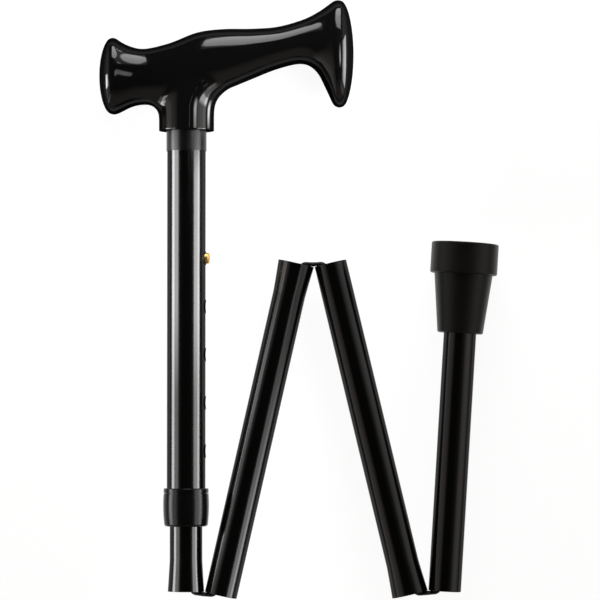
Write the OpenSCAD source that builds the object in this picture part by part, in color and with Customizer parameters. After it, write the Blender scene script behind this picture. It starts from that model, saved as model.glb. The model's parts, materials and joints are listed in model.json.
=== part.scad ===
// Folding walking cane, lying half folded with its sections in a zigzag.
// Each section is drawn standing, with its lower end at zero and the handle's
// end upwards, and is then laid down at its place in the zigzag.

/* [Folding sections] */
// Outside diameter of the folding tubes
tube_d = 17.15; // [16.4:0.05:17.2]
// Wall of the folding tubes
tube_wall = 1.1; // [0.9:0.05:1.2]
// Length of a middle section from its flared mouth to its plain end
section_len = 179.2; // [150:0.1:200]
// Length of the last tube from its plain end to its end inside the tip
last_len = 174; // [150:0.5:200]
// Angle between the first and second sections
fold_1 = 12.8; // [10:0.1:16]
// Angle between the second and third sections
fold_2 = 26.3; // [22:0.1:30]
// Angle between the third and last sections
fold_3 = 17; // [14:0.1:22]

/* [Flared sockets] */
// Depth to which a plain end seats in a flared mouth
seat_depth = 6; // [4:0.5:9]
// Radial clearance of the plain end in its seat
seat_clear = 0.1; // [0.05:0.01:0.2]
// Wall of the drawn flare at its mouth
flare_wall = 0.8; // [0.6:0.05:1]
// Outward turn of the mouth's lip
flare_lip = 0.13; // [0.05:0.01:0.3]
// Length over which the flare runs back into the tube
flare_run = 11; // [8:0.5:16]
// How the flare opens towards its mouth, with 1 for a straight cone
flare_curve = 1.15; // [1:0.05:1.3]
// Length of the sleeve inside each flared end
joint_sleeve_len = 30; // [20:1:50]
// Wall of that sleeve
joint_sleeve_wall = 1; // [0.7:0.1:1.3]
// Depth of the sleeve's nose behind the mouth
joint_sleeve_set = 0.8; // [0.5:0.1:1.5]

/* [Adjustable upper tube] */
// Outside diameter of the upper tube
upper_d = 20.4; // [20.4:0.05:20.6]
// Wall of the upper tube
upper_wall = 1.3; // [1.1:0.05:1.35]
// Upper tube that shows between the collar and the handle's sleeve
upper_show = 177.9; // [150:0.1:200]
// Distance between two height holes
hole_pitch = 25.4; // [20:0.1:28]
// Number of height holes
hole_count = 5; // [3:1:5]
// Diameter of a height hole
hole_d = 6.4; // [5.5:0.1:7]
// Height of the lowest hole above the collar
hole_start = 19.6; // [15:0.1:26]
// Turn of the row of holes towards the front
hole_turn = 5; // [0:1:20]
// Lower tube that reaches above the button inside the upper tube
lower_tail = 30; // [26:0.5:40]

/* [Lock collar] */
// First tube that shows under the collar
stub_show = 34.1; // [28:0.1:45]
// Largest diameter of the lock ring
ring_d = 24.2; // [23.8:0.1:26]
// Height of the lock ring
ring_h = 17.4; // [15:0.1:22]
// How much the ring's radius falls away towards its lower end
ring_fall = 0.7; // [0.3:0.05:0.9]
// Rounding of the ring's lower edge
ring_round = 1.5; // [0.8:0.1:2]
// Thickness of the ring's bottom
ring_floor = 1.4; // [1:0.1:2]
// Outside diameter of the threaded bush under the ring
bush_d = 22; // [21.8:0.1:22.2]
// Height of the bush's lip above the ring
lip_h = 2.4; // [1.5:0.1:4]
// Diameter of the bush's lip
lip_d = 23.76; // [23:0.02:24.5]
// Height of the split collet
collet_h = 7.6; // [5:0.1:9]
// Width of the collet's slit
collet_slit = 1.6; // [1:0.1:3]

/* [Handle] */
// Diameter of the handle's socket
neck_d = 29.3; // [26:0.1:31]
// Sleeve that shows under the socket
sleeve_show = 11.2; // [6:0.1:20]
// Outside diameter of the sleeve
sleeve_d = 21.2; // [21:0.05:22.5]
// Depth of the socket's bore
socket_depth = 33; // [25:0.5:36]
// Reach of the rear knob behind the shaft's axis
rear_reach = 46.2; // [44:0.1:52]
// Reach of the front knob before the shaft's axis
front_reach = 88.4; // [84:0.1:96]
// Swell of the rear knob's end
rear_dome = 7.5; // [5:0.1:9]
// Swell of the front knob's end
front_dome = 7.8; // [5:0.1:9]

/* [Snap button] */
// Diameter of the snap button
button_d = 6; // [5:0.1:6.2]
// Height of the button above the upper tube
button_proud = 2.1; // [1.5:0.1:3]
// Thickness of the leaf spring
spring_t = 0.5; // [0.4:0.05:0.7]
// Width of the leaf spring
spring_w = 7; // [5:0.5:8]
// Length of the leaf spring above the button
spring_reach = 20; // [15:0.5:24]

/* [Rubber tip] */
// Diameter of the tip's sole
tip_d = 35.4; // [34:0.2:40]
// Height of the flange at the sole
tip_flange_h = 16.4; // [10:0.2:20]
// Diameter of the tip's body at the flange
tip_body_d = 30.8; // [27:0.2:32]
// Diameter of the tip's body at its mouth
tip_mouth_d = 24.1; // [22:0.1:26]
// Height of the tip's tapered body
tip_body_h = 31.2; // [24:0.2:40]
// Rubber under the steel washer
tip_floor = 8; // [6:0.5:12]
// Thickness of the steel washer in the tip
washer_t = 1.6; // [1:0.1:3]
// Number of tread grooves in the sole
tread_count = 3; // [1:1:4]

/* [Elastic cord] */
// Diameter of the elastic cord
cord_d = 4.4; // [3.5:0.1:4.6]
// Thickness of the cord where it lies flat over two rims
bend_t = 2.1; // [1.6:0.1:2.6]
// Width of the cord where it lies flat over two rims
bend_w = 6.8; // [5:0.1:8]
// Distance of the cord's upper anchor below the button
anchor_drop = 35.4; // [30:0.1:50]
// Height of a cord anchor
anchor_h = 8; // [5:0.5:12]

/* [Hidden] */

// Clearances: a press fit within one body, a running fit, and free air between bodies
fit_clear = 0.05;
run_clear = 0.1;
air = 0.3;
// How far a cut runs past the face that it opens
past = 1;
// Fineness of round surfaces
round_fn = 72;

// Radii of the folding tubes and their flared mouths
tube_r = tube_d / 2;
bore_r = tube_r - tube_wall;
seat_r = tube_r + seat_clear;
mouth_r = seat_r + flare_wall + flare_lip;
// The fold's axis lies half way between two shaft axes that lie rim to rim
hinge_out = (mouth_r + tube_r + air) / 2;

// Levels along the first section, from its flared mouth upwards
ring_z = stub_show;
bush_z = ring_z + ring_h + air;
upper_z = ring_z + ring_floor + collet_h + 2 * air;
lip_z = bush_z + lip_h;
sleeve_z = lip_z + upper_show;
neck_z = sleeve_z + sleeve_show;
socket_z = neck_z + socket_depth;
button_z = lip_z + hole_start + (hole_count - 1) * hole_pitch;
lower_top = button_z + lower_tail;
anchor_z = button_z - anchor_drop;
upper_r = upper_d / 2;
upper_bore = upper_r - upper_wall;

// Height of every section's axis above the table, and the middle of the plan
knob_top = 69.1;
knob_half = 17.3;
tip_h = tip_body_h + tip_flange_h;
lie_h = max(tip_d / 2, knob_half);
lean_2 = fold_1;
lean_3 = fold_2 - fold_1;
lean_4 = fold_3 - lean_3;
function aside(lean) = [cos(lean), -sin(lean)];
function along(lean) = [sin(lean), cos(lean)];
hinge_1 = [hinge_out, -air / 2];
end_2 = hinge_1 + hinge_out * aside(lean_2) + air / 2 * along(lean_2);
hinge_2 = end_2 + (section_len + air / 2) * along(lean_2) + hinge_out * aside(lean_2);
end_3 = hinge_2 + hinge_out * aside(-lean_3) - air / 2 * along(-lean_3);
hinge_3 = end_3 - (section_len + air / 2) * along(-lean_3) + hinge_out * aside(-lean_3);
end_4 = hinge_3 + hinge_out * aside(lean_4) + air / 2 * along(lean_4);
sole = end_4 + (last_len + washer_t + tip_floor) * along(lean_4);
plan_right = (sole + tip_d / 2 * aside(lean_4))[0];
plan_low = (end_2 + tube_r * aside(lean_2))[1];
mid_x = (plan_right - rear_reach) / 2;
mid_y = (neck_z + knob_top + plan_low) / 2;

// Laying the standing sections down in the zigzag
module lying() translate([-mid_x, -mid_y, lie_h]) rotate([-90, 0, 0]) children();
module next_section(side, fold, len)
  translate([side * hinge_out, 0, -air / 2])
    rotate([0, -side * (180 - fold), 0])
      translate([-side * hinge_out, 0, -air / 2 - len]) children();
module at_section_2() lying() next_section(1, fold_1, section_len) children();
module at_section_3()
  lying() next_section(1, fold_1, section_len) next_section(-1, fold_2, section_len) children();
module at_section_4()
  lying() next_section(1, fold_1, section_len) next_section(-1, fold_2, section_len)
    next_section(1, fold_3, last_len) children();
module facing_button() rotate([0, 0, -hole_turn]) children();

// A smooth run through a list of stations, each a vector
function through(a, b, c, d, t) =
  0.5 * (2 * b + (c - a) * t + (2 * a - 5 * b + 4 * c - d) * t * t
    + (3 * b - a - 3 * c + d) * t * t * t);
function smooth(list, steps) = [
  for (i = [0 : len(list) - 2]) for (k = [0 : steps - 1])
    through(list[max(i - 1, 0)], list[i], list[i + 1], list[min(i + 2, len(list) - 1)], k / steps),
  list[len(list) - 1]];

// A closed skin over rings that all have the same number of points
module skin(rings) {
  n = len(rings[0]);
  last = len(rings) - 1;
  sides = [for (i = [0 : last - 1]) for (k = [0 : n - 1]) each [
    [i * n + k, i * n + (k + 1) % n, (i + 1) * n + k],
    [i * n + (k + 1) % n, (i + 1) * n + (k + 1) % n, (i + 1) * n + k]]];
  first_cap = [for (k = [n - 1 : -1 : 0]) k];
  last_cap = [for (k = [0 : n - 1]) last * n + k];
  polyhedron([for (r = rings) each r], concat(sides, [first_cap, last_cap]), convexity = 6);
}

// A flat ribbon of one thickness along a path in a plane
function heading(path, i) =
  let (d = path[min(i + 1, len(path) - 1)] - path[max(i - 1, 0)]) [d[0], d[1]] / norm([d[0], d[1]]);
function beside(path, i, gap) =
  [path[i][0], path[i][1]] + gap * [-heading(path, i)[1], heading(path, i)[0]];
module ribbon(path, t)
  polygon(concat([for (i = [0 : len(path) - 1]) beside(path, i, t / 2)],
    [for (i = [len(path) - 1 : -1 : 0]) beside(path, i, -t / 2)]));

// A cord along a path of [aside, up, half thickness, half width]
cord_sides = 10;
function cord_ring(path, i) = [for (k = [0 : cord_sides - 1])
  let (turn = 360 * k / cord_sides, p = beside(path, i, path[i][2] * cos(turn)))
    [p[0], path[i][3] * sin(turn), p[1]]];
module cord_along(path) skin([for (i = [0 : len(path) - 1]) cord_ring(path, i)]);

// Half of the cord's bend over two rims, as [from the fold axis, into the bore, thick, wide]
bend_half = [
  [0, -bend_t / 2 - 0.35, bend_t / 2, bend_w / 2],
  [2.6, -bend_t / 2 - 0.15, bend_t / 2, bend_w / 2 - 0.1],
  [4.6, -0.7, 1.2, 3],
  [5.7, 0.6, 1.5, 2.6],
  [6, 2.8, 1.85, 2.35],
  [6, 5.8, cord_d / 2 - 0.1, cord_d / 2],
  [6, 9, cord_d / 2, cord_d / 2]];
bend_end = bend_half[len(bend_half) - 1];
cord_off = hinge_out - bend_end[0];
cord_from = bend_end[1] + air / 2;
function bend_path(side, fold) =
  let (hinge = [side * hinge_out, -air / 2],
    across = [side * cos(fold), -sin(fold)], up = [side * sin(fold), cos(fold)],
    rim = [side * sin(fold / 2), cos(fold / 2)],
    near = [for (i = [len(bend_half) - 1 : -1 : 1]) let (b = bend_half[i])
      concat(hinge + [-side * b[0], b[1]], [b[2], b[3]])],
    top = [concat(hinge + bend_half[0][1] * rim, [bend_half[0][2], bend_half[0][3]])],
    far = [for (i = [1 : len(bend_half) - 1]) let (b = bend_half[i])
      concat(hinge + b[0] * across + b[1] * up, [b[2], b[3]])])
  concat(near, top, far);

// The cord inside a section, drawn from its way out at an end towards the axis
cord_settle = [[0, 1], [2, 0.985], [9, 0.62], [20, 0.2], [34, 0]];
function cord_out(side, z, up) = [for (s = cord_settle)
  [side * s[1] * cord_off, z + up * s[0], cord_d / 2, cord_d / 2]];
function reverse(list) = [for (i = [len(list) - 1 : -1 : 0]) list[i]];
module cord_in_section(low_side, high_side, len)
  cord_along(concat(cord_out(low_side, cord_from, 1),
    reverse(cord_out(high_side, len - cord_from, -1))));

// Tubes, revolved from their wall's profile
flare_steps = 10;
function flare_share(k) = (1 + cos(180 * k / flare_steps)) / 2;
flare_outer = [for (k = [0 : flare_steps]) let (t = k / flare_steps)
  [tube_r + (mouth_r - tube_r) * pow(1 - t, flare_curve), (seat_depth + flare_run) * t]];
flare_inner = [for (k = [flare_steps : -1 : 0]) [bore_r + (seat_r - bore_r) * flare_share(k),
  seat_depth + flare_run * k / flare_steps], [seat_r, 0]];
edge = 0.2;
module flared_tube(len)
  rotate_extrude($fn = round_fn)
    polygon(concat(flare_outer, [[tube_r, len - edge], [tube_r - edge, len], [bore_r, len]],
      flare_inner));
module plain_tube(r, wall, len)
  rotate_extrude($fn = round_fn)
    polygon([[r - wall, 0], [r - edge, 0], [r, edge], [r, len - edge], [r - edge, len], [r - wall, len]]);
module ring_between(inner, outer, low, high)
  translate([0, 0, low]) difference() {
    cylinder(r = outer, h = high - low, $fn = round_fn);
    translate([0, 0, -past]) cylinder(r = inner, h = high - low + 2 * past, $fn = round_fn);
  }
module side_hole(z, d, reach)
  translate([0, 0, z]) facing_button() rotate([0, 90, 0]) cylinder(d = d, h = reach, $fn = 48);

// Handle: stations of the arm as [from the shaft axis, top, underside, half width],
// heights counted from the socket's rim
rear_rim = -rear_reach + rear_dome;
front_rim = front_reach - front_dome;
arm_stations = [
  [rear_rim, 49.1, 8.6, 15.8], [rear_rim + 4.5, 46.6, 10.2, 14.6], [rear_rim + 10.5, 44.3, 13.7, 13.4],
  [-21.7, 43.5, 15, 12.9], [-8.5, 46.7, 16.2, 13.6], [5.6, 52.2, 18.6, 14.4], [19.7, 54, 21.6, 14.8],
  [33.9, 54.1, 27.2, 14.6], [48, 55.1, 32.8, 14.1], [front_rim - 19.4, 58.8, 35.6, 13.9],
  [front_rim - 12, 62.4, 32.4, 14.4], [front_rim - 7.2, 65.4, 25.1, 15.3],
  [front_rim - 2.8, 68.2, 15.7, 16.6], [front_rim, knob_top, 12.5, knob_half]];
arm_sides = 32;
arm_square = 2.25;
dome_steps = 5;
function bulge(v) = sign(v) * pow(abs(v), 2 / arm_square);
function arm_ring(s, x, share) = [for (k = [0 : arm_sides - 1])
  let (turn = 360 * k / arm_sides)
    [x, -share * s[3] * bulge(cos(turn)),
      neck_z + (s[1] + s[2]) / 2 + share * (s[1] - s[2]) / 2 * bulge(sin(turn))]];
function dome_rings(s, reach) = [for (k = [1 : dome_steps])
  let (a = 86 * k / dome_steps) arm_ring(s, s[0] + reach * sin(a), cos(a))];
// Neck: a round socket that runs up into the arm, as [height above the rim, in from its side]
neck_r = neck_d / 2;
neck_socket = [for (s = [[0, 0.5], [0.6, 0], [12, 0], [17, 0.3], [23, 1.3], [30, 3.6]])
  [s[0], -neck_r + s[1], neck_r - s[1], neck_r - s[1]]];
// Fillets before and behind it, as [height above the rim, rear, front, half width]
neck_fillets = [
  [8.5, -neck_r + 1, neck_r - 1, 8], [11.9, -neck_r - 1.9, neck_r + 0.4, 9],
  [14.9, -neck_r - 7.5, neck_r + 1.3, 10], [17.5, -neck_r - 8.5, neck_r + 2.3, 10.5],
  [23.2, -neck_r - 5, neck_r + 9.9, 11], [28, -neck_r, neck_r + 15, 10.6],
  [32, -neck_r + 5, neck_r + 14, 9.5]];
function neck_ring(s) = [for (k = [0 : arm_sides - 1])
  let (turn = 360 * k / arm_sides)
    [(s[1] + s[2]) / 2 + (s[2] - s[1]) / 2 * cos(turn), s[3] * sin(turn), neck_z + s[0]]];
module handle() {
  arm = smooth(arm_stations, 3);
  rear = reverse(dome_rings(arm[0], -rear_dome));
  front = dome_rings(arm[len(arm) - 1], front_dome);
  color("#151515") lying() difference() {
    union() {
      skin(concat(rear, [for (s = arm) arm_ring(s, s[0], 1)], front));
      for (stations = [neck_socket, neck_fillets])
        skin([for (s = reverse(smooth(stations, 2))) neck_ring(s)]);
    }
    translate([0, 0, neck_z - past])
      cylinder(r = sleeve_d / 2 + fit_clear, h = socket_depth + past, $fn = round_fn);
  }
}
module handle_sleeve()
  color("#1c1c1d") lying() ring_between(upper_r + fit_clear, sleeve_d / 2, sleeve_z, socket_z - air);

module upper_tube()
  color("#202022") lying() difference() {
    translate([0, 0, upper_z]) plain_tube(upper_r, upper_wall, socket_z - air - upper_z);
    for (i = [0 : hole_count - 1]) side_hole(button_z - i * hole_pitch, hole_d, upper_d);
  }

// Lock collar: a threaded bush on the upper tube, a split collet and the turning ring
collet_nose = 1.4;
cone_low = tube_r + collet_nose;
cone_high = bush_d / 2 + run_clear;
cone_z = ring_z + ring_floor;
module thread_bush()
  color("#2b2b2d") lying() rotate_extrude($fn = round_fn)
    polygon([[upper_r + fit_clear, upper_z + air], [bush_d / 2, upper_z + air], [bush_d / 2, bush_z],
      [lip_d / 2, bush_z], [lip_d / 2, lip_z - edge * 2], [lip_d / 2 - edge * 2, lip_z],
      [upper_r + fit_clear, lip_z]]);
module collet()
  color("#c9c9c4") lying() difference() {
    rotate_extrude($fn = round_fn)
      polygon([[tube_r + run_clear, cone_z + air], [cone_low - air, cone_z + air],
        [cone_high - 2 * air, cone_z + collet_h], [tube_r + run_clear, cone_z + collet_h]]);
    translate([-ring_d, -collet_slit / 2, cone_z]) cube([ring_d, collet_slit, collet_h + past]);
  }
ring_mid = ring_z + 0.65 * ring_h;
function ring_r(z) = ring_d / 2 - ring_fall * pow((z - ring_mid) / (ring_mid - ring_z), 2);
module lock_ring() {
  foot = ring_r(ring_z + ring_round);
  outer = concat(
    [for (a = [0 : 15 : 75]) [foot - ring_round * (1 - sin(a)), ring_z + ring_round * (1 - cos(a))]],
    [for (k = [0 : 8]) let (z = ring_z + ring_round + (ring_h - ring_round) * k / 8) [ring_r(z), z]]);
  color("#3a3a3c") lying() rotate_extrude($fn = round_fn)
    polygon(concat(outer, [[cone_high, ring_z + ring_h], [cone_high, cone_z + collet_h],
      [cone_low, cone_z], [tube_r + air, cone_z], [tube_r + air, ring_z]]));
}

// First section: the lower tube that slides in the upper one, with its plug and snap button
module shaft_tube_1()
  color("#202022") lying() difference() {
    flared_tube(lower_top);
    side_hole(button_z, hole_d, tube_d);
  }
plug_depth = 5;
plug_flange = 2.5;
module guide_plug()
  color("#d8d8d2") lying() translate([0, 0, lower_top]) rotate_extrude($fn = round_fn)
    polygon([[0, -plug_depth], [bore_r - fit_clear, -plug_depth], [bore_r - fit_clear, 0],
      [upper_bore - run_clear, 0],
      [upper_bore - run_clear, plug_flange - edge], [upper_bore - run_clear - edge, plug_flange],
      [0, plug_flange]]);
// The flange of the button lies as far out as the tube's bore lets it
flange_over = 0.9;
flange_t = 0.9;
flange_r = hole_d / 2 + flange_over;
flange_out = sqrt(bore_r * bore_r - flange_r * flange_r) - air / 2;
// The button's outer edge and its dimple, as [in from the side, down from the top]
button_top = upper_r + button_proud;
button_edge = [[0, 0.9], [0.25, 0.3], [0.9, 0], [1.4, 0.1], [2, 0.28], [button_d / 2, 0.35]];
module snap_button()
  color("#b08d4f") lying() translate([0, 0, button_z]) facing_button() rotate([0, 90, 0])
    rotate_extrude($fn = 48)
      polygon(concat([[0, flange_out - flange_t], [flange_r, flange_out - flange_t],
        [flange_r, flange_out], [button_d / 2, flange_out]],
        [for (e = button_edge) [button_d / 2 - e[0], button_top - e[1]]]));
// The leaf spring runs up from the button, round a bow and down the tube's far side
leaf_foot = 4.5;
bow_r = 2;
leaf_tail = 8;
leaf_out = flange_out - flange_t - spring_t / 2;
leaf_back = sqrt(bore_r * bore_r - spring_w * spring_w / 4) - air - spring_t / 2;
module button_spring()
  color("#9a9a98") lying() translate([0, 0, button_z]) facing_button()
    rotate([90, 0, 0]) linear_extrude(spring_w, center = true)
      ribbon(concat([[leaf_out, -leaf_foot], [leaf_out, leaf_foot]],
        [for (a = [20 : 20 : 160]) [bow_r * cos(a), spring_reach - bow_r + bow_r * sin(a)]],
        [[-leaf_back, -leaf_tail]]), spring_t);
module cord_anchor()
  ring_between(cord_d / 2 + air, bore_r - fit_clear, 0, anchor_h);
// A knot as a barrel, and its middle's height above the anchor
knot_half = 3.4;
knot_r = 4.5;
knot_side = [[0.58, 1], [0.93, 0.53], [1, 0], [0.93, -0.53], [0.58, -1]];
knot_up = knot_half + air;
module knot()
  rotate_extrude($fn = 32)
    polygon(concat([[0, knot_half]], [for (k = knot_side) [knot_r * k[0], knot_half * k[1]]],
      [[0, -knot_half]]));
module top_anchor() color("#d8d8d2") lying() translate([0, 0, anchor_z]) cord_anchor();
module cord_1()
  color("#101011") lying() union() {
    cord_along(concat(cord_out(1, cord_from, 1),
      [[0, anchor_z + anchor_h + knot_up, cord_d / 2, cord_d / 2]]));
    translate([0, 0, anchor_z + anchor_h + knot_up]) knot();
  }

// Inner sleeve of a flared end, which centres the next tube's plain end from inside
lining_r = bore_r - fit_clear;
lining_end = joint_sleeve_set + joint_sleeve_len;
module joint_sleeve()
  rotate_extrude($fn = round_fn)
    polygon([[lining_r - joint_sleeve_wall, joint_sleeve_set], [lining_r - 2 * edge, joint_sleeve_set],
      [lining_r, joint_sleeve_set + 3 * edge], [lining_r, lining_end],
      [lining_r - joint_sleeve_wall, lining_end]]);
module joint_sleeve_1() color("#b9bbbd") lying() joint_sleeve();
module joint_sleeve_2() color("#b9bbbd") at_section_2() joint_sleeve();
module joint_sleeve_3() color("#b9bbbd") at_section_3() joint_sleeve();

// Middle sections
module shaft_tube_2() color("#202022") at_section_2() flared_tube(section_len);
module shaft_tube_3() color("#202022") at_section_3() flared_tube(section_len);
module cord_2() color("#101011") at_section_2() cord_in_section(-1, 1, section_len);
module cord_3() color("#101011") at_section_3() cord_in_section(1, -1, section_len);
module cord_bend_1() color("#101011") lying() cord_along(bend_path(1, fold_1));
module cord_bend_2() color("#101011") at_section_2() cord_along(bend_path(-1, fold_2));
module cord_bend_3() color("#101011") at_section_3() cord_along(bend_path(1, fold_3));

// Last section with the rubber tip
knot_room = 2 * knot_up + 2 * air;
module shaft_tube_4() color("#202022") at_section_4() plain_tube(tube_r, tube_wall, last_len);
module bottom_anchor() color("#d8d8d2") at_section_4() translate([0, 0, knot_room]) cord_anchor();
module cord_4()
  color("#101011") at_section_4() union() {
    cord_along(concat([[0, knot_room - knot_up, cord_d / 2, cord_d / 2]],
      reverse(cord_out(1, last_len - cord_from, -1))));
    translate([0, 0, knot_room - knot_up]) knot();
  }
sole_z = -washer_t - tip_floor;
flange_z = sole_z + tip_flange_h;
flange_round = 1;
tip_edge = 0.5;
tread_t = 2;
tread_deep = 1.2;
module tip()
  color("#1a1a1a") at_section_4() difference() {
    rotate_extrude($fn = round_fn)
      polygon(concat([[0, sole_z], [tip_d / 2 - tip_edge, sole_z], [tip_d / 2, sole_z + tip_edge]],
        [for (a = [0 : 30 : 90]) [tip_d / 2 - flange_round * (1 - cos(a)),
          flange_z - flange_round * (1 - sin(a))]],
        [[tip_body_d / 2, flange_z], [tip_mouth_d / 2, sole_z + tip_h - tip_edge],
          [tip_mouth_d / 2 - tip_edge, sole_z + tip_h], [0, sole_z + tip_h]]));
    translate([0, 0, -washer_t]) cylinder(r = tube_r + fit_clear, h = tip_h, $fn = round_fn);
    for (i = [1 : tread_count]) let (r = tip_d / 2 * i / (tread_count + 1))
      ring_between(r, r + tread_t, sole_z - past, sole_z + tread_deep);
  }
module tip_washer()
  color("#8d9093") at_section_4() translate([0, 0, -washer_t])
    cylinder(r = tube_r, h = washer_t - fit_clear, $fn = round_fn);

handle();
handle_sleeve();
upper_tube();
thread_bush();
collet();
lock_ring();
shaft_tube_1();
guide_plug();
snap_button();
button_spring();
top_anchor();
joint_sleeve_1();
cord_1();
cord_bend_1();
shaft_tube_2();
joint_sleeve_2();
cord_2();
cord_bend_2();
shaft_tube_3();
joint_sleeve_3();
cord_3();
cord_bend_3();
shaft_tube_4();
cord_4();
bottom_anchor();
tip();
tip_washer();
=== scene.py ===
import json
import math

import bmesh
import bpy
from mathutils import Matrix, Quaternion, Vector
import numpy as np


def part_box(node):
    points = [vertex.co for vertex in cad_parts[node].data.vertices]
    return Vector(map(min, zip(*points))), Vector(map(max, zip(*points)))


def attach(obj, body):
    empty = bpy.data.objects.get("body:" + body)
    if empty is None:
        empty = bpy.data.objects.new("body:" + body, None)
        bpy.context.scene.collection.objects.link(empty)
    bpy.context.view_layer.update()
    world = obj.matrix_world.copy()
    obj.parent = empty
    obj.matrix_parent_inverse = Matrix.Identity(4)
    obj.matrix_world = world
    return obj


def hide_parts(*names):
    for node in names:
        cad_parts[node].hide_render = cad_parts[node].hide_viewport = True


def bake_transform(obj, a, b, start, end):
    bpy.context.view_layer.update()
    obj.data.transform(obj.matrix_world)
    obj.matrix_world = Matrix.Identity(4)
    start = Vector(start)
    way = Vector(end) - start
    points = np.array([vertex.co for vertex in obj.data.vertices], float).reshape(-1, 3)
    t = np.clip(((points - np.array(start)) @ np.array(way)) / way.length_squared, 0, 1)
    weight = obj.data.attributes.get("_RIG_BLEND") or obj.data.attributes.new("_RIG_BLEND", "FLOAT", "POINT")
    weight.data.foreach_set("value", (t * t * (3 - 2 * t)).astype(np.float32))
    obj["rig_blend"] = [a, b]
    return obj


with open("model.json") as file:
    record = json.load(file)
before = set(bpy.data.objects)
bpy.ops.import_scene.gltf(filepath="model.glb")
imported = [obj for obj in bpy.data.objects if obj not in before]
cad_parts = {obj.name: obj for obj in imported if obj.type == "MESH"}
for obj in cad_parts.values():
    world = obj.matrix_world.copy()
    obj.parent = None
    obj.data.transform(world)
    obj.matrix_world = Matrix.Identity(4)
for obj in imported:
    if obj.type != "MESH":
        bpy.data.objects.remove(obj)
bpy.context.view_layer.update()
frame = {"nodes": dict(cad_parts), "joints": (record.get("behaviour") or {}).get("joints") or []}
scene = bpy.context.scene
scene.view_settings.view_transform = "Standard"


# Camera: looks down on the cane where it lies, leaning a little to the foot of the frame,
# from far enough away that every section keeps its width over the frame.
view_width = 0.3167
camera_distance = 1.8
camera_lean = math.radians(-2)
shaft_low, shaft_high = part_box("upper_tube")
shaft_x = (shaft_low.x + shaft_high.x) / 2
lying_z = (shaft_low.z + shaft_high.z) / 2
frame_centre = Vector((0.0006, -0.0008, lying_z))
camera = bpy.data.objects.new("camera", bpy.data.cameras.new("camera"))
camera.data.lens = camera.data.sensor_width * camera_distance / view_width
camera.location = frame_centre + camera_distance * Vector((0, math.sin(camera_lean), math.cos(camera_lean)))
camera.rotation_euler = (-camera_lean, 0, 0)
scene.collection.objects.link(camera)
scene.camera = camera


# Studio table: a wide white board. Seen straight on it is plain white, with the cane's soft
# shadow on it. In a reflection it glows white near the cane and fades with distance: painted light, as if
# only its middle were lit.
board_size = 4.0
board_colour = (0.8, 0.8, 0.8, 1)
shadow_colour = (0.2, 0.2, 0.2, 1)
board_white, board_far = 0.93, 0.1
lit_near, lit_far = 0.02, 0.08


def math_node(tree, operation, *inputs):
    """Adds a Math node. Each input is a value or the output of another node."""
    node = tree.nodes.new("ShaderNodeMath")
    node.operation = operation
    for socket, given_input in zip(node.inputs, inputs):
        if isinstance(given_input, bpy.types.NodeSocket):
            tree.links.new(given_input, socket)
        else:
            socket.default_value = given_input
    return node.outputs[0]


def ramp_node(tree, source, start, end, at_start, at_end, smooth=False):
    """Adds a Map Range node, which goes from one value at start to another at end."""
    node = tree.nodes.new("ShaderNodeMapRange")
    if smooth:
        node.interpolation_type = "SMOOTHSTEP"
    ends = {"From Min": start, "From Max": end, "To Min": at_start, "To Max": at_end}
    for socket_name, value in ends.items():
        node.inputs[socket_name].default_value = value
    tree.links.new(source, node.inputs["Value"])
    return node.outputs["Result"]


def link_mesh(name, shape):
    mesh = bpy.data.meshes.new(name)
    shape.to_mesh(mesh)
    shape.free()
    piece = bpy.data.objects.new(name, mesh)
    scene.collection.objects.link(piece)
    return piece


table_shape = bmesh.new()
bmesh.ops.create_grid(table_shape, x_segments=1, y_segments=1, size=board_size / 2)
table = link_mesh("studio_table", table_shape)
white_board = bpy.data.materials.new("white_board")
white_board.use_nodes = True
tree = white_board.node_tree
tree.nodes.clear()
path = tree.nodes.new("ShaderNodeLightPath")
board = tree.nodes.new("ShaderNodeBsdfDiffuse")
board.inputs["Color"].default_value = board_colour
shadowed = tree.nodes.new("ShaderNodeBsdfDiffuse")
shadowed.inputs["Color"].default_value = shadow_colour
seen_straight = math_node(tree, "MULTIPLY", path.outputs["Is Camera Ray"], board_white)
# Painted light: in reflections the board glows white near the cane and fades with distance
painted_lit_middle = ramp_node(tree, path.outputs["Ray Length"], lit_near, lit_far, board_white, board_far)
glow = tree.nodes.new("ShaderNodeEmission")
tree.links.new(math_node(tree, "MAXIMUM", seen_straight, painted_lit_middle), glow.inputs["Strength"])
seen_board = tree.nodes.new("ShaderNodeAddShader")
tree.links.new(glow.outputs[0], seen_board.inputs[0])
tree.links.new(shadowed.outputs[0], seen_board.inputs[1])
camera_or_glossy = math_node(tree, "MAXIMUM", path.outputs["Is Camera Ray"], path.outputs["Is Glossy Ray"])
board_mix = tree.nodes.new("ShaderNodeMixShader")
tree.links.new(math_node(tree, "MAXIMUM", camera_or_glossy, path.outputs["Is Transmission Ray"]),
               board_mix.inputs["Fac"])
tree.links.new(board.outputs[0], board_mix.inputs[1])
tree.links.new(seen_board.outputs[0], board_mix.inputs[2])
board_out = tree.nodes.new("ShaderNodeOutputMaterial")
tree.links.new(board_mix.outputs[0], board_out.inputs["Surface"])
table.data.materials.append(white_board)


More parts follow.
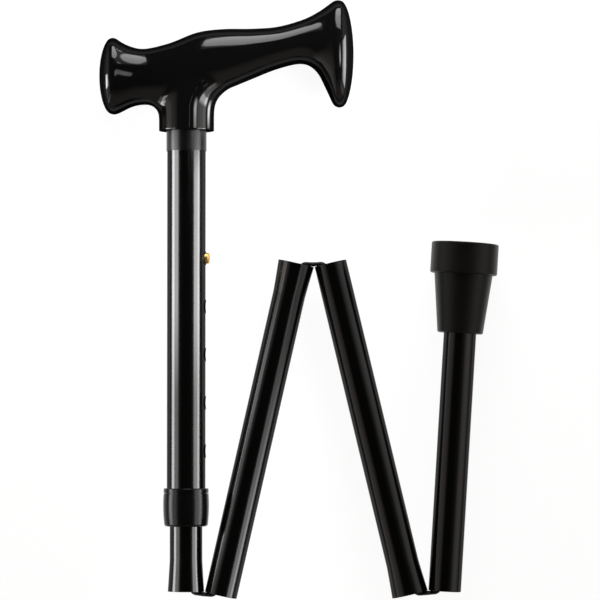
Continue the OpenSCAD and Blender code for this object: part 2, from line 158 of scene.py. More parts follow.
# Studio light: a dark room with pale walls to the sides and at the foot, two strip boxes
# along each side of the first section, and smaller boxes round the handle. Each box fades
# with distance, so that the strips barely reach the last sections.
room_tint = (1, 0.9, 0.82, 1)
side_start, side_end, side_dark, side_pale = 0.5, 0.85, 0.02, 0.42
foot_start, foot_end, foot_dark, foot_pale = 0.35, 0.8, 0, 0.2
room = bpy.data.worlds.new("room")
room.use_nodes = True
tree = room.node_tree
way = tree.nodes.new("ShaderNodeTexCoord")
way_split = tree.nodes.new("ShaderNodeSeparateXYZ")
tree.links.new(way.outputs["Generated"], way_split.inputs[0])
sideways = math_node(tree, "ABSOLUTE", way_split.outputs["X"])
footwards = math_node(tree, "MULTIPLY", way_split.outputs["Y"], -1)
side_walls = ramp_node(tree, sideways, side_start, side_end, side_dark, side_pale, smooth=True)
foot_wall = ramp_node(tree, footwards, foot_start, foot_end, foot_dark, foot_pale, smooth=True)
background = tree.nodes["Background"]
background.inputs["Color"].default_value = room_tint
tree.links.new(math_node(tree, "ADD", side_walls, foot_wall), background.inputs["Strength"])
scene.world = room


def soft_box(name, centre, aim, wide, high, radiance, spread, reach=(), fall=(), roll=0):
    """A lamp with a cloth front. Each reach is two distances and the lamp's share at each, and
    each fall is a side of the cloth, two places along it and the lamp's share at each."""
    light = bpy.data.lights.new(name, "AREA")
    light.shape = "RECTANGLE"
    light.size = wide
    light.size_y = high
    light.energy = radiance * wide * high * math.pi
    light.spread = math.radians(spread)
    light.use_nodes = True
    tree = light.node_tree
    distance = tree.nodes.new("ShaderNodeLightPath").outputs["Ray Length"]
    cloth = tree.nodes.new("ShaderNodeSeparateXYZ")
    tree.links.new(tree.nodes.new("ShaderNodeNewGeometry").outputs["Parametric"], cloth.inputs[0])
    fades = [ramp_node(tree, distance, *ends) for ends in reach]
    fades += [ramp_node(tree, cloth.outputs[side], *ends) for side, *ends in fall]
    share = 1
    for fade in fades:
        share = math_node(tree, "MULTIPLY", share, fade)
    tree.links.new(share, tree.nodes["Emission"].inputs["Strength"])
    lamp = bpy.data.objects.new(name, light)
    lamp.location = centre
    lamp.rotation_mode = "QUATERNION"
    facing = Vector(aim).to_track_quat("-Z", "Y")
    lamp.rotation_quaternion = facing @ Quaternion((0, 0, 1), math.radians(roll))
    lamp.visible_camera = False
    scene.collection.objects.link(lamp)


def from_upright(degrees):
    return Vector((math.sin(math.radians(degrees)), 0, math.cos(math.radians(degrees))))


strip_target = Vector((shaft_x, -0.01, lying_z))
right_reach = [(0.15, 0.20, 0.02, 1), (0.197, 0.2005, 1, 0.25), (0.213, 0.245, 1, 0.1)]
left_reach = [(0.117, 0.1205, 0.05, 1), (0.126, 0.134, 1, 0.2), (0.142, 0.15, 1, 5), (0.13, 0.185, 1, 0.05)]
over_neck = ("X", 0.885, 0.93, 1, 0.12)
for name, away, turn, along, wide, high, radiance, reach, fall in (
        ("right_outer_strip", 0.20, 77.8, -0.0875, 0.465, 0.0477, 4.4, right_reach,
         [("X", 0.602, 0.710, 0.66, 1), over_neck]),
        ("right_inner_strip", 0.20, 58.75, -0.0875, 0.465, 0.0868, 2.8, right_reach,
         [("X", 0.602, 0.710, 0.45, 1), over_neck]),
        ("left_outer_strip", 0.13, -80.3, -0.107, 0.43, 0.0426, 3.75, left_reach,
         [("X", 0.228, 0.344, 1, 0.67)]),
        ("left_inner_strip", 0.13, -58, -0.107, 0.43, 0.060, 1.9, left_reach,
         [("X", 0.228, 0.344, 1, 0.27)])):
    strip_centre = strip_target + away * from_upright(turn) + Vector((0, along, 0))
    soft_box(name, strip_centre, from_upright(turn + 180), wide, high, radiance, spread=100,
             reach=reach, fall=fall)
soft_edges = [(side, *edge) for side in ("X", "Y") for edge in ((0, 0.4, 0, 1), (0.6, 1, 1, 0))]
neck_target = Vector((shaft_x, 0.13, lying_z))
neck_turn, neck_away = 36, 0.20
soft_box("neck_strip", neck_target + neck_away * from_upright(neck_turn), from_upright(neck_turn - 180),
         wide=0.07, high=0.06, radiance=3.0, spread=100, fall=soft_edges)
soft_box("neck_card", (shaft_x + 0.052, 0.1025, 0.013), (-0.95, 0, 0.31),
         wide=0.022, high=0.018, radiance=1.5, spread=50, fall=soft_edges)
arm_target = Vector((shaft_x + 0.02, 0.13, lying_z))
arm_box_from = Vector((0.085, 0.386, 0.25))
arm_box_shift = Vector((-0.018, 0.003, 0.002))
soft_box("handle_box", arm_target + arm_box_from + arm_box_shift, -arm_box_from,
         wide=0.367, high=0.45, radiance=6.3, spread=180, roll=6,
         reach=[(0.502, 0.512, 1, 0.1), (0.545, 0.56, 1, 10)], fall=[("Y", 0.2, 1, 1, 0.58)])
soft_box("rear_knob_box", (0.16, 0.2025, 0.6), (-0.404, -0.119, -0.907),
         wide=0.075, high=0.18, radiance=0.2, spread=60, reach=[(0.621, 0.627, 0, 1)])
soft_box("rear_dome_box", (-0.19, 0.108, 0.06), (0.98, 0.1, -0.2),
         wide=0.035, high=0.06, radiance=5.0, spread=90, reach=[(0.09, 0.105, 1, 0.02)])
soft_box("front_knob_box", (0.12, 0.115, 0.07), (-0.98, 0, -0.17),
         wide=0.10, high=0.10, radiance=2.4, spread=90, reach=[(0.12, 0.15, 1, 0.03)])


# Handle: one moulding of glossy black plastic, a long arm with a flared knob at each end
# and a short neck, whose bored socket is pushed on over the sleeve.
mm = 0.001
rim_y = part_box("handle")[0].y
# Stations of the arm, in mm: from the shaft's axis, then top and underside above the
# socket's rim, and half the width
rear_rim, front_rim, rear_dome, front_dome = -38.7, 80.6, 7.5, 7.8
arm_stations = [
    (rear_rim, 50.1, 7.9, 16.2), (rear_rim + 4.5, 46.8, 10, 14.7), (rear_rim + 10.5, 44.3, 12.9, 13.4),
    (-21.7, 43.5, 13.9, 12.9), (-8.5, 46.7, 14.2, 13.6), (5.6, 52.2, 18.6, 14.4), (19.7, 54, 21.6, 14.8),
    (33.9, 54.1, 27.2, 14.6), (48, 55.1, 32.8, 14.1), (front_rim - 19.4, 58.8, 35.6, 13.9),
    (front_rim - 12, 62.4, 31.6, 14.4), (front_rim - 7.2, 65.6, 22.8, 15.3),
    (front_rim - 2.8, 68.9, 13.4, 16.8), (front_rim, 70.1, 10.6, 17.6)]
# Stations of the neck: height above the rim, rear, front, half the width
neck_r, socket_r, socket_deep = 14.65, 10.65, 33.0
neck_stations = [
    (-10, -neck_r, neck_r, neck_r), (8.5, -neck_r, neck_r, neck_r - 0.1),
    (13, -neck_r - 0.4, neck_r + 0.4, neck_r - 0.2), (17.5, -neck_r - 0.2, neck_r + 2.2, neck_r - 0.4),
    (23, -neck_r, neck_r + 8, neck_r - 0.8), (28, -neck_r + 2, neck_r + 13, neck_r - 2.4),
    (33, -neck_r + 5, neck_r + 10, neck_r - 5)]
arm_square = 2.25
arm_steps, neck_steps, dome_steps, dome_sweep = 10, 6, 12, 86
handle_sides = 96
handle_voxel = 0.0007
fillet_r, lip_r, rim_round = 5.0, 3.2, 0.4
swell_rounds, polish_rounds = 4, 20
handle_black = (0.004, 0.004, 0.0042)
full_gloss = 0.5


def smooth_run(stations, steps):
    """Draws an even curve through stations, in so many steps from each to the next."""
    rows = [Vector(s) for s in stations]
    last = len(rows) - 1
    run = []
    for i in range(last):
        a, b, c, d = rows[max(i - 1, 0)], rows[i], rows[i + 1], rows[min(i + 2, last)]
        for k in range(steps):
            t = k / steps
            run.append(0.5 * (2 * b + (c - a) * t + (2 * a - 5 * b + 4 * c - d) * t * t
                              + (3 * b - a - 3 * c + d) * t ** 3))
    return run + [rows[last]]


def extrude_through(shape, sides, rings, hollow=False):
    """Draws one ring of points, and extrudes it from each place to the next. The ends are
    filled, or else joined to each other through the hollow."""
    turn = shape.verts.layers.float.get("turn") or shape.verts.layers.float.new("turn")
    run = shape.verts.layers.float.get("run") or shape.verts.layers.float.new("run")
    verts = bmesh.ops.create_circle(shape, segments=sides, radius=1, cap_ends=False)["verts"]
    for v in verts:
        v[turn] = math.atan2(v.co.y, v.co.x)
    first_edges = list({e for v in verts for e in v.link_edges})
    edges = first_edges
    for i, place in enumerate(rings):
        if i:
            made = bmesh.ops.extrude_edge_only(shape, edges=edges)["geom"]
            verts = [g for g in made if isinstance(g, bmesh.types.BMVert)]
            new = set(verts)
            edges = [g for g in made if isinstance(g, bmesh.types.BMEdge) and set(g.verts) <= new]
        for v in verts:
            v.co = place(v[turn])
            v[run] = i
    if hollow:
        bmesh.ops.bridge_loops(shape, edges=first_edges + edges)
        return
    for end in (first_edges, edges):
        bmesh.ops.holes_fill(shape, edges=end, sides=0)


def square_round(value):
    return math.copysign(abs(value) ** (2 / arm_square), value)


def arm_place(station, x, share):
    _, top, under, half = station
    def place(turn):
        up = (top + under) / 2 + share * (top - under) / 2 * square_round(math.sin(turn))
        aside = share * half * square_round(math.cos(turn))
        return Vector((shaft_x + x * mm, rim_y + up * mm, lying_z + aside * mm))
    return place


def neck_place(station):
    up, rear, front, half = station
    def place(turn):
        across = (rear + front) / 2 + (front - rear) / 2 * math.cos(turn)
        return Vector((shaft_x + across * mm, rim_y + up * mm, lying_z + half * mm * math.sin(turn)))
    return place


def settle(piece):
    """Makes a piece's modifiers final."""
    bpy.context.view_layer.update()
    final = bpy.data.meshes.new_from_object(piece.evaluated_get(bpy.context.evaluated_depsgraph_get()))
    piece.modifiers.clear()
    piece.data = final


def smooth_faces(piece, sharp_from):
    piece.data.shade_smooth()
    piece.data.set_sharp_from_angle(angle=math.radians(sharp_from))


arm = smooth_run(arm_stations, arm_steps)
rear_end, front_end = arm[0], arm[-1]
dome_turns = [math.radians(dome_sweep * k / dome_steps) for k in range(1, dome_steps + 1)]
rear_rings = [arm_place(rear_end, rear_end[0] - rear_dome * math.sin(a), math.cos(a))
              for a in dome_turns]
front_rings = [arm_place(front_end, front_end[0] + front_dome * math.sin(a), math.cos(a))
               for a in dome_turns]
handle_shape = bmesh.new()
extrude_through(handle_shape, handle_sides,
                rear_rings[::-1] + [arm_place(s, s[0], 1) for s in arm] + front_rings)
extrude_through(handle_shape, handle_sides, [neck_place(s) for s in smooth_run(neck_stations, neck_steps)])
bmesh.ops.recalc_face_normals(handle_shape, faces=handle_shape.faces)
handle = link_mesh("moulded_handle", handle_shape)


def melt(voxel):
    step = handle.modifiers.new("melt", "REMESH")
    step.mode = "VOXEL"
    step.voxel_size = voxel


def even_out(rounds):
    step = handle.modifiers.new("even", "SMOOTH")
    step.factor = 0.5
    step.iterations = rounds


def swell(amount):
    even_out(swell_rounds)
    step = handle.modifiers.new("swell", "DISPLACE")
    step.mid_level = 0
    step.strength = amount
    melt(handle_voxel)


# The arm and the neck run together in a hollow fillet, and the knobs' lips are rounded
melt(handle_voxel)
for radius in (fillet_r, -fillet_r, -lip_r, lip_r):
    swell(radius * mm)
even_out(polish_rounds)
settle(handle)
trim = bmesh.new()
trim.from_mesh(handle.data)
bmesh.ops.bisect_plane(trim, geom=trim.verts[:] + trim.edges[:] + trim.faces[:], plane_co=(0, rim_y, 0),
                       plane_no=(0, -1, 0), clear_outer=True)
rim_edges = [e for e in trim.edges if e.is_boundary]
bmesh.ops.contextual_create(trim, geom=rim_edges)
bmesh.ops.bevel(trim, geom=rim_edges, offset=rim_round * mm, offset_type="OFFSET", affect="EDGES",
                segments=3, profile=0.5, material=-1, clamp_overlap=True)
bmesh.ops.recalc_face_normals(trim, faces=trim.faces)
trim.to_mesh(handle.data)
trim.free()
socket_place = Matrix.Translation((shaft_x, rim_y, lying_z)) @ Matrix.Rotation(math.radians(90), 4, "X")
bore_shape = bmesh.new()
bmesh.ops.create_cone(bore_shape, cap_ends=True, segments=handle_sides, radius1=socket_r * mm,
                      radius2=socket_r * mm, depth=2 * socket_deep * mm, matrix=socket_place)
bore = link_mesh("socket_bore", bore_shape)
cut = handle.modifiers.new("socket", "BOOLEAN")
cut.operation = "DIFFERENCE"
cut.object = bore
settle(handle)
bpy.data.objects.remove(bore)
smooth_faces(handle, sharp_from=50)
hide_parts("handle")
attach(handle, "grip")


def new_skin(name, inputs):
    """Starts a node group that gives a surface's roughness and the height of its relief."""
    group = bpy.data.node_groups.new(name, "ShaderNodeTree")
    for socket_name, kind in inputs.items():
        group.interface.new_socket(socket_name, in_out="INPUT", socket_type=f"NodeSocket{kind}")
    for socket_name in ("Roughness", "Height"):
        group.interface.new_socket(socket_name, in_out="OUTPUT", socket_type="NodeSocketFloat")
    return group, group.nodes.new("NodeGroupInput"), group.nodes.new("NodeGroupOutput")


moulded, given, taken = new_skin("moulded_skin", {
    "Grain Scale": "Float", "Cloud Scale": "Float", "Roughness": "Float", "Spread": "Float"})
where = moulded.nodes.new("ShaderNodeTexCoord")
grain = moulded.nodes.new("ShaderNodeTexNoise")
grain.inputs["Detail"].default_value = 3
cloud = moulded.nodes.new("ShaderNodeTexNoise")
cloud.inputs["Detail"].default_value = 4
centred = math_node(moulded, "SUBTRACT", cloud.outputs["Fac"], 0.5)
varied = math_node(moulded, "MULTIPLY_ADD", centred, given.outputs["Spread"], given.outputs["Roughness"])
for out_socket, in_socket in (
        (where.outputs["Object"], grain.inputs["Vector"]),
        (where.outputs["Object"], cloud.inputs["Vector"]),
        (given.outputs["Grain Scale"], grain.inputs["Scale"]),
        (given.outputs["Cloud Scale"], cloud.inputs["Scale"]),
        (varied, taken.inputs["Roughness"]),
        (grain.outputs["Fac"], taken.inputs["Height"])):
    moulded.links.new(out_socket, in_socket)


def grained_material(name, colour, group, settings, bump):
    """A material whose roughness and relief come from a node group."""
    material = bpy.data.materials.new(name)
    material.use_nodes = True
    tree = material.node_tree
    shader = tree.nodes["Principled BSDF"]
    shader.inputs["Base Color"].default_value = (*colour, 1)
    skin = tree.nodes.new("ShaderNodeGroup")
    skin.node_tree = group
    for socket_name, value in settings.items():
        skin.inputs[socket_name].default_value = value
    relief = tree.nodes.new("ShaderNodeBump")
    relief.inputs["Strength"].default_value = 1.0
    relief.inputs["Distance"].default_value = bump
    tree.links.new(skin.outputs["Roughness"], shader.inputs["Roughness"])
    tree.links.new(skin.outputs["Height"], relief.inputs["Height"])
    tree.links.new(relief.outputs["Normal"], shader.inputs["Normal"])
    return material


def moulded_material(name, colour, roughness, spread, grain_scale, cloud_scale, bump, gloss=full_gloss):
    settings = {"Grain Scale": grain_scale, "Cloud Scale": cloud_scale,
                "Roughness": roughness, "Spread": spread}
    material = grained_material(name, colour, moulded, settings, bump)
    material.node_tree.nodes["Principled BSDF"].inputs["Specular IOR Level"].default_value = gloss
    return material


def soften_edges(material, start, end, level):
    """The gloss fades where the surface turns away, as under a polarising filter."""
    tree = material.node_tree
    facing = tree.nodes.new("ShaderNodeLayerWeight").outputs["Facing"]
    gloss = ramp_node(tree, facing, start, end, full_gloss, level)
    tree.links.new(gloss, tree.nodes["Principled BSDF"].inputs["Specular IOR Level"])


handle_gloss = moulded_material("gloss_black_moulding", handle_black, roughness=0.07, spread=0.05,
                                grain_scale=700, cloud_scale=45, bump=0.000004)
soften_edges(handle_gloss, start=0.3, end=0.52, level=0)
handle.data.materials.clear()
handle.data.materials.append(handle_gloss)


# Handle sleeve: a dull black plastic collar between the socket and the tube, pushed
# into the socket with a short length left showing.
sleeve_black = (0.004, 0.004, 0.004)


def paint(node, material):
    for slot in frame["nodes"][node].material_slots:
        slot.material = material


paint("handle_sleeve", moulded_material("dull_black_plastic", sleeve_black, roughness=0.3, spread=0.1,
                                        grain_scale=2600, cloud_scale=120, bump=0.00001, gloss=0.4))


# Tubes: drawn aluminium, polished and black anodised. The drawing leaves faint lines
# along each tube, which lean with their section.
tube_black = (0.001, 0.001, 0.0011)
tube_rough, line_rough, patch_rough = 0.1, 0.05, 0.06
line_scale, line_stretch, patch_scale = 1800, 80, 70
line_bump, tube_ior = 0.000001, 1.6
drawn, given, taken = new_skin("drawn_tube", {"Lean": "Vector", "Roughness": "Float"})
where = drawn.nodes.new("ShaderNodeTexCoord")
along_tube = drawn.nodes.new("ShaderNodeMapping")
along_tube.vector_type = "TEXTURE"
along_tube.inputs["Scale"].default_value = (1, line_stretch, 1)
lines = drawn.nodes.new("ShaderNodeTexNoise")
lines.inputs["Scale"].default_value = line_scale
lines.inputs["Detail"].default_value = 2
patches = drawn.nodes.new("ShaderNodeTexNoise")
patches.inputs["Scale"].default_value = patch_scale
patches.inputs["Detail"].default_value = 3
lined = math_node(drawn, "MULTIPLY_ADD", lines.outputs["Fac"], line_rough, given.outputs["Roughness"])
patched = math_node(drawn, "MULTIPLY_ADD", patches.outputs["Fac"], patch_rough, lined)
for out_socket, in_socket in (
        (where.outputs["Object"], along_tube.inputs["Vector"]),
        (given.outputs["Lean"], along_tube.inputs["Rotation"]),
        (along_tube.outputs["Vector"], lines.inputs["Vector"]),
        (where.outputs["Object"], patches.inputs["Vector"]),
        (patched, taken.inputs["Roughness"]),
        (lines.outputs["Fac"], taken.inputs["Height"])):
    drawn.links.new(out_socket, in_socket)


def tube_material(name, lean):
    settings = {"Lean": (0, 0, lean), "Roughness": tube_rough}
    material = grained_material(name, tube_black, drawn, settings, line_bump)
    material.node_tree.nodes["Principled BSDF"].inputs["IOR"].default_value = tube_ior
    soften_edges(material, start=0.3, end=0.6, level=0.02)
    return material


joints = {j["name"]: j for j in frame["joints"]}


def lean_of(joint_name):
    x, y, _ = joints[joint_name]["axis"]
    return -math.atan(x / y)


paint("upper_tube", tube_material("anodised_upper", 0))
paint("shaft_tube_1", tube_material("anodised_1", 0))
for number in (2, 3, 4):
    paint(f"shaft_tube_{number}", tube_material(f"anodised_{number}", lean_of(f"seat_{number - 1}")))

# The height holes are punched, which leaves a low lip round each of them. The lip is near black
# with almost no gloss: painted shade for the dark inside each hole, on a real raised lip.
upper_r = (shaft_high.x - shaft_low.x) / 2
hole_turn = math.radians(5)
hole_pitch, hole_count = 25.4, 5
button_low, button_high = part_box("snap_button")
button_y = (button_low.y + button_high.y) / 2
# Rings of a lip, in mm: away from the hole's axis, and above the tube
lip_rings = [(3.24, -0.4), (3.24, 0.16), (3.3, 0.24), (3.42, 0.25), (3.7, 0.03), (3.8, -0.1)]
lip_sides = 48


def facing_hole(out, along, aside=0):
    """A point from the shaft's axis out towards the row of holes, and along from the snap button."""
    way_out = Vector((math.cos(hole_turn), 0, math.sin(hole_turn)))
    way_aside = Vector((-math.sin(hole_turn), 0, math.cos(hole_turn)))
    return Vector((shaft_x, button_y + along, lying_z)) + way_out * out + way_aside * aside


def lip_place(away, above, hole):
    def place(turn):
        aside = away * mm * math.cos(turn)
        along = away * mm * math.sin(turn) - hole * hole_pitch * mm
        return facing_hole(math.sqrt(upper_r ** 2 - aside ** 2) + above * mm, along, aside)
    return place


lips_shape = bmesh.new()
for hole in range(hole_count):
    extrude_through(lips_shape, lip_sides, [lip_place(*ring, hole) for ring in lip_rings], hollow=True)
bmesh.ops.recalc_face_normals(lips_shape, faces=lips_shape.faces)
lips = link_mesh("hole_lips", lips_shape)
smooth_faces(lips, sharp_from=60)
# Near black with almost no gloss: painted shade of the hole's dark inside, on the real punched lip
lips.data.materials.append(moulded_material("punched_edge_and_hole_shade", tube_black, roughness=0.5, spread=0.1,
                                            grain_scale=2400, cloud_scale=300, bump=0.000004, gloss=0.05))
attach(lips, "grip")


# Lock collar: a ring of satin charcoal plastic that is turned by hand, the bush with its
# lip that it screws on, and the split collet that it squeezes on the lower tube.
charcoal = (0.003, 0.0034, 0.0032)
nylon_white = (0.62, 0.61, 0.56)
collar_plastic = moulded_material("satin_charcoal_plastic", charcoal, roughness=0.2, spread=0.1,
                                  grain_scale=2200, cloud_scale=90, bump=0.000008, gloss=0.22)
for node in ("lock_ring", "thread_bush"):
    paint(node, collar_plastic)
nylon = moulded_material("natural_nylon", nylon_white, roughness=0.45, spread=0.1,
                         grain_scale=1800, cloud_scale=100, bump=0.00001)
for node in ("collet", "guide_plug", "top_anchor", "bottom_anchor"):
    paint(node, nylon)


# Snap button: turned from brass with a dimple in its head, and held out through the hole
# by a leaf of spring steel. The leaf is bent back on itself, and its front leg gives way.
brass_yellow, steel_grey = (0.8, 0.51, 0.16), (0.42, 0.42, 0.43)
# Sizes of the leaf in mm: its legs' distances from the tube's axis, and its reach along it
leaf_wide, leaf_thick, leaf_out, leaf_back = 7, 0.5, 4.93, 6.05
leaf_foot, leaf_tail, leaf_reach, bow_r = 4.5, 8, 20, 2
leg_steps = 10


def metal_material(name, colour, roughness):
    material = moulded_material(name, colour, roughness, spread=0.12, grain_scale=3000, cloud_scale=300,
                                bump=0.000004)
    material.node_tree.nodes["Principled BSDF"].inputs["Metallic"].default_value = 1
    return material


def leaf_point(out, along, aside=0):
    return facing_hole(out * mm, along * mm, aside * mm)


paint("snap_button", metal_material("bright_brass", brass_yellow, roughness=0.33))
bow = [(bow_r * math.cos(math.radians(a)), leaf_reach - bow_r + bow_r * math.sin(math.radians(a)))
       for a in range(20, 161, 10)]
bow_out, bow_along = bow[0]
front_leg = [(leaf_out + (bow_out - leaf_out) * k / leg_steps,
              leaf_foot + (bow_along - leaf_foot) * k / leg_steps) for k in range(leg_steps)]
leaf_path = [(leaf_out, -leaf_foot)] + front_leg + bow + [(-leaf_back, -leaf_tail)]
leaf_shape = bmesh.new()
leaf_edge = leaf_shape.edges.new([leaf_shape.verts.new(leaf_point(*leaf_path[0], aside))
                                  for aside in (-leaf_wide / 2, leaf_wide / 2)])
for here, ahead in zip(leaf_path, leaf_path[1:]):
    made = bmesh.ops.extrude_edge_only(leaf_shape, edges=[leaf_edge])["geom"]
    leaf_edge = next(g for g in made if isinstance(g, bmesh.types.BMEdge))
    bmesh.ops.translate(leaf_shape, verts=leaf_edge.verts[:], vec=leaf_point(*ahead) - leaf_point(*here))
leaf = link_mesh("leaf_spring", leaf_shape)
gauge = leaf.modifiers.new("gauge", "SOLIDIFY")
gauge.thickness = leaf_thick * mm
gauge.offset = 0
settle(leaf)
smooth_faces(leaf, sharp_from=50)
steel = metal_material("bare_steel", steel_grey, roughness=0.32)
leaf.data.materials.append(steel)
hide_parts("button_spring")
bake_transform(leaf, "section_1", "button", start=leaf_point(bow_out, 0), end=leaf_point(leaf_out, 0))


# Joint sleeves: short lengths of bare aluminium tube, cut from plain stock and pressed into
# the flared ends of the first three sections.
aluminium_grey = (0.55, 0.56, 0.58)
bare_aluminium = metal_material("bare_aluminium", aluminium_grey, roughness=0.35)
for number in (1, 2, 3):
    paint(f"joint_sleeve_{number}", bare_aluminium)


# Rubber tip: a moulded black rubber cup with a broad flange at its sole, pushed over the
# last tube's end onto a steel washer.
rubber_black = (0.0046, 0.0036, 0.0027)
paint("tip", moulded_material("matte_black_rubber", rubber_black, roughness=0.4, spread=0.14,
                              grain_scale=1500, cloud_scale=140, bump=0.00002, gloss=0.4))
paint("tip_washer", steel)


# Elastic cord: one length of rubber strands in a black braid, knotted behind an anchor at
# each end. It runs loose in the bores, and lies flat where it passes over two folded rims.
cord_r, cord_sides, cord_steps = 2.2, 24, 4
hinge_out, rim_gap = 9.24, 0.15
# Half a bend: away from the fold's axis, into the bore, half the thickness, half the width
bend_half = [(0, -1.4, 1.05, 3.4), (2.6, -1.2, 1.05, 3.3), (4.6, -0.7, 1.2, 3), (5.7, 0.6, 1.5, 2.6),
             (6, 2.8, 1.85, 2.35), (6, 5.8, 2.1, 2.2), (6, 9, 2.2, 2.2)]
bend_thick = 1.2
# From the fold's axis to where a bend parts, and to the plain end's wall, which slides past
parting_out, wall_out = 0.38, 0.64
cord_off, cord_from = 3.24, 9.15
# How far the cord has come back to the tube's axis: depth past a bend, share of the offset
cord_settle = [(0, 1), (2, 0.985), (5, 0.85), (9, 0.62), (14, 0.39), (20, 0.2), (27, 0.07), (34, 0)]
# The end stretches: where they run straight, and where their knots are
first_straight, last_straight = 90, 110
last_len = 174.0
anchor_knot, foot_knot = 151.7, last_len - 4.3
knot_half, knot_r, knot_gap = 3.4, 4.5, 1
# Rows of a knot: share of its half length, share of its radius
knot_rows = [(-1, 0.5), (-0.96, 0.62), (-0.8, 0.84), (-0.45, 0.99), (0, 0.97), (0.45, 1), (0.8, 0.84),
             (0.96, 0.5), (1, 0.3)]
strands, braid_pitch, braid_relief = 8, 0.0035, 0.0002
# The yarn's colour is on the strands' crowns; the darker colour in the grooves between them is painted shade
painted_groove_shade, yarn_high = (0.002, 0.002, 0.002, 1), (0.008, 0.008, 0.0085, 1)
rough_low, rough_high = 0.9, 0.62

braid = bpy.data.materials.new("black_braid")
braid.use_nodes = True
tree = braid.node_tree
shader = tree.nodes["Principled BSDF"]
shader.inputs["Sheen Weight"].default_value = 0.06
shader.inputs["Sheen Roughness"].default_value = 0.4
where = tree.nodes.new("ShaderNodeUVMap")
split = tree.nodes.new("ShaderNodeSeparateXYZ")
tree.links.new(where.outputs["UV"], split.inputs[0])
around = math_node(tree, "MULTIPLY", split.outputs["X"], strands)
ridges = []
for operation in ("ADD", "SUBTRACT"):
    spiral = math_node(tree, operation, around, split.outputs["Y"])
    wave = math_node(tree, "SINE", math_node(tree, "MULTIPLY", spiral, math.pi))
    ridges.append(math_node(tree, "ABSOLUTE", wave))
crossing = math_node(tree, "MULTIPLY", *ridges)
# Painted shade: the colour darkens from the strands' crowns into the grooves between them
yarn_with_groove_shade = tree.nodes.new("ShaderNodeValToRGB")
yarn_with_groove_shade.color_ramp.elements[0].color = painted_groove_shade
yarn_with_groove_shade.color_ramp.elements[1].color = yarn_high
wear = ramp_node(tree, crossing, 0, 1, rough_low, rough_high)
relief = tree.nodes.new("ShaderNodeBump")
relief.inputs["Distance"].default_value = braid_relief
for out_socket, in_socket in (
        (crossing, yarn_with_groove_shade.inputs["Fac"]), (yarn_with_groove_shade.outputs["Color"], shader.inputs["Base Color"]),
        (wear, shader.inputs["Roughness"]), (crossing, relief.inputs["Height"]),
        (relief.outputs["Normal"], shader.inputs["Normal"])):
    tree.links.new(out_socket, in_socket)


def rim_at(fold, inward, side):
    """A rim's centre at a fold, the way into its bore, and the way across it to the fold's axis."""
    inward = Vector(inward)
    across = side * Vector((inward.y, -inward.x, 0))
    centre = Vector(joints[fold]["pos_m"]) - across * hinge_out * mm + inward * rim_gap * mm
    return centre, inward, across


def rim_point(rim, across, deep):
    return rim[0] + rim[2] * across * mm + rim[1] * deep * mm


def cord_piece(name, stations, run_from=0.0):
    """Draws the braid through stations of a point and half its thickness and width, in mm.
    Gives the piece, and how far the braid has run at its end."""
    rows = smooth_run([(*p, t, w) for p, t, w in stations], cord_steps)
    points = [Vector(row[:3]) for row in rows]
    rings = []
    runs = [run_from]
    for i, row in enumerate(rows):
        ahead = (points[min(i + 1, len(rows) - 1)] - points[max(i - 1, 0)]).normalized()
        beside = ahead.cross(Vector((0, 0, 1)))
        def place(turn, p=points[i], beside=beside, thick=row[3] * mm, wide=row[4] * mm):
            return p + beside * thick * math.cos(turn) + Vector((0, 0, wide * math.sin(turn)))
        rings.append(place)
        if i:
            runs.append(runs[-1] + (points[i] - points[i - 1]).length)
    shape = bmesh.new()
    extrude_through(shape, cord_sides, rings)
    turn = shape.verts.layers.float["turn"]
    ring_of = shape.verts.layers.float["run"]
    lay = shape.loops.layers.uv.new("braid")
    for face in shape.faces:
        turns = [corner.vert[turn] for corner in face.loops]
        wraps = max(turns) - min(turns) > math.pi
        for corner, t in zip(face.loops, turns):
            t += 2 * math.pi if wraps and t < 0 else 0
            corner[lay].uv = (t / (2 * math.pi), runs[round(corner.vert[ring_of])] / braid_pitch)
    bmesh.ops.recalc_face_normals(shape, faces=shape.faces)
    piece = link_mesh(name, shape)
    smooth_faces(piece, sharp_from=60)
    piece.data.materials.append(braid)
    return piece, runs[-1]


# Each fold's open end and plain end, with the side of the section that its axis is on
plain_ways = [-Vector(joints[f"seat_{number}"]["axis"]) for number in (1, 2, 3)]
open_ways = [Vector((0, 1, 0)), -plain_ways[0], -plain_ways[1]]
axis_sides = (1, -1, 1)
mouths = [rim_at(f"fold_{k + 1}", open_ways[k], axis_sides[k]) for k in range(3)]
plain_ends = [rim_at(f"fold_{k + 1}", plain_ways[k], -axis_sides[k]) for k in range(3)]

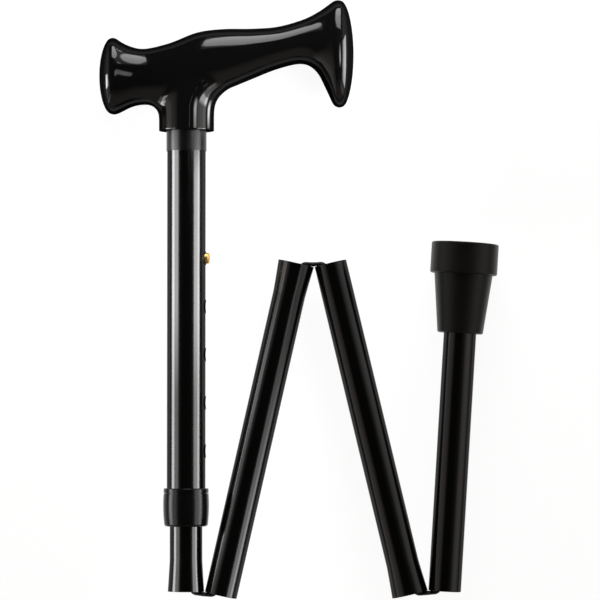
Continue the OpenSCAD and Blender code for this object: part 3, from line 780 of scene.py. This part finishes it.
for k, (mouth, plain_end) in enumerate(zip(mouths, plain_ends)):
    into_mouth = [(rim_point(mouth, hinge_out - out, deep), t, w) for out, deep, t, w in bend_half]
    into_plain = [(rim_point(plain_end, hinge_out - out, deep), t, w) for out, deep, t, w in bend_half]
    over_axis = [station[0] for station in into_mouth[:2] + into_plain[:2]]
    middle = (sum(over_axis, Vector()) / len(over_axis), bend_thick, into_mouth[0][2])
    from_axis, to_end = (hinge_out * mm - (p - plain_end[0]).dot(plain_end[2])
                         for p in (middle[0], into_plain[1][0]))
    shares = [(past * mm - from_axis) / (to_end - from_axis) for past in (parting_out, wall_out)]
    parting, wall = (tuple(a + (b - a) * share for a, b in zip(middle, into_plain[1])) for share in shares)
    bend, run = cord_piece(f"braid_bend_{k + 1}", into_mouth[:0:-1] + [middle, parting])
    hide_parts(f"cord_bend_{k + 1}")
    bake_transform(bend, f"section_{k + 1}", f"bend_{k + 1}", start=into_mouth[4][0], end=into_plain[1][0])
    lead, _ = cord_piece(f"braid_lead_{k + 1}", [parting, wall] + into_plain[1:], run)
    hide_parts(f"cord_bend_{k + 1}")
    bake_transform(lead, f"bend_{k + 1}", f"section_{k + 2}", start=parting[0], end=wall[0])


def settling(rim):
    """The cord comes from a bend back to the axis of the tube."""
    return [(rim_point(rim, cord_off * share, cord_from + deep), cord_r, cord_r)
            for deep, share in cord_settle]


def to_knot(rim, straight, knot):
    """The cord runs from a bend to a hard round knot at its end."""
    run = [(rim_point(rim, 0, deep), cord_r, cord_r) for deep in (straight, knot - knot_half - knot_gap)]
    wound = [(rim_point(rim, 0, knot + along * knot_half), share * knot_r, share * knot_r)
             for along, share in knot_rows]
    return settling(rim) + run + wound


stretches = [
    to_knot(mouths[0], first_straight, anchor_knot),
    settling(mouths[1]) + settling(plain_ends[0])[::-1],
    settling(mouths[2]) + settling(plain_ends[1])[::-1],
    to_knot(plain_ends[2], last_straight, foot_knot)]
for k, stations in enumerate(stretches):
    stretch, _ = cord_piece(f"braid_stretch_{k + 1}", stations)
    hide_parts(f"cord_{k + 1}")
    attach(stretch, f"section_{k + 1}")
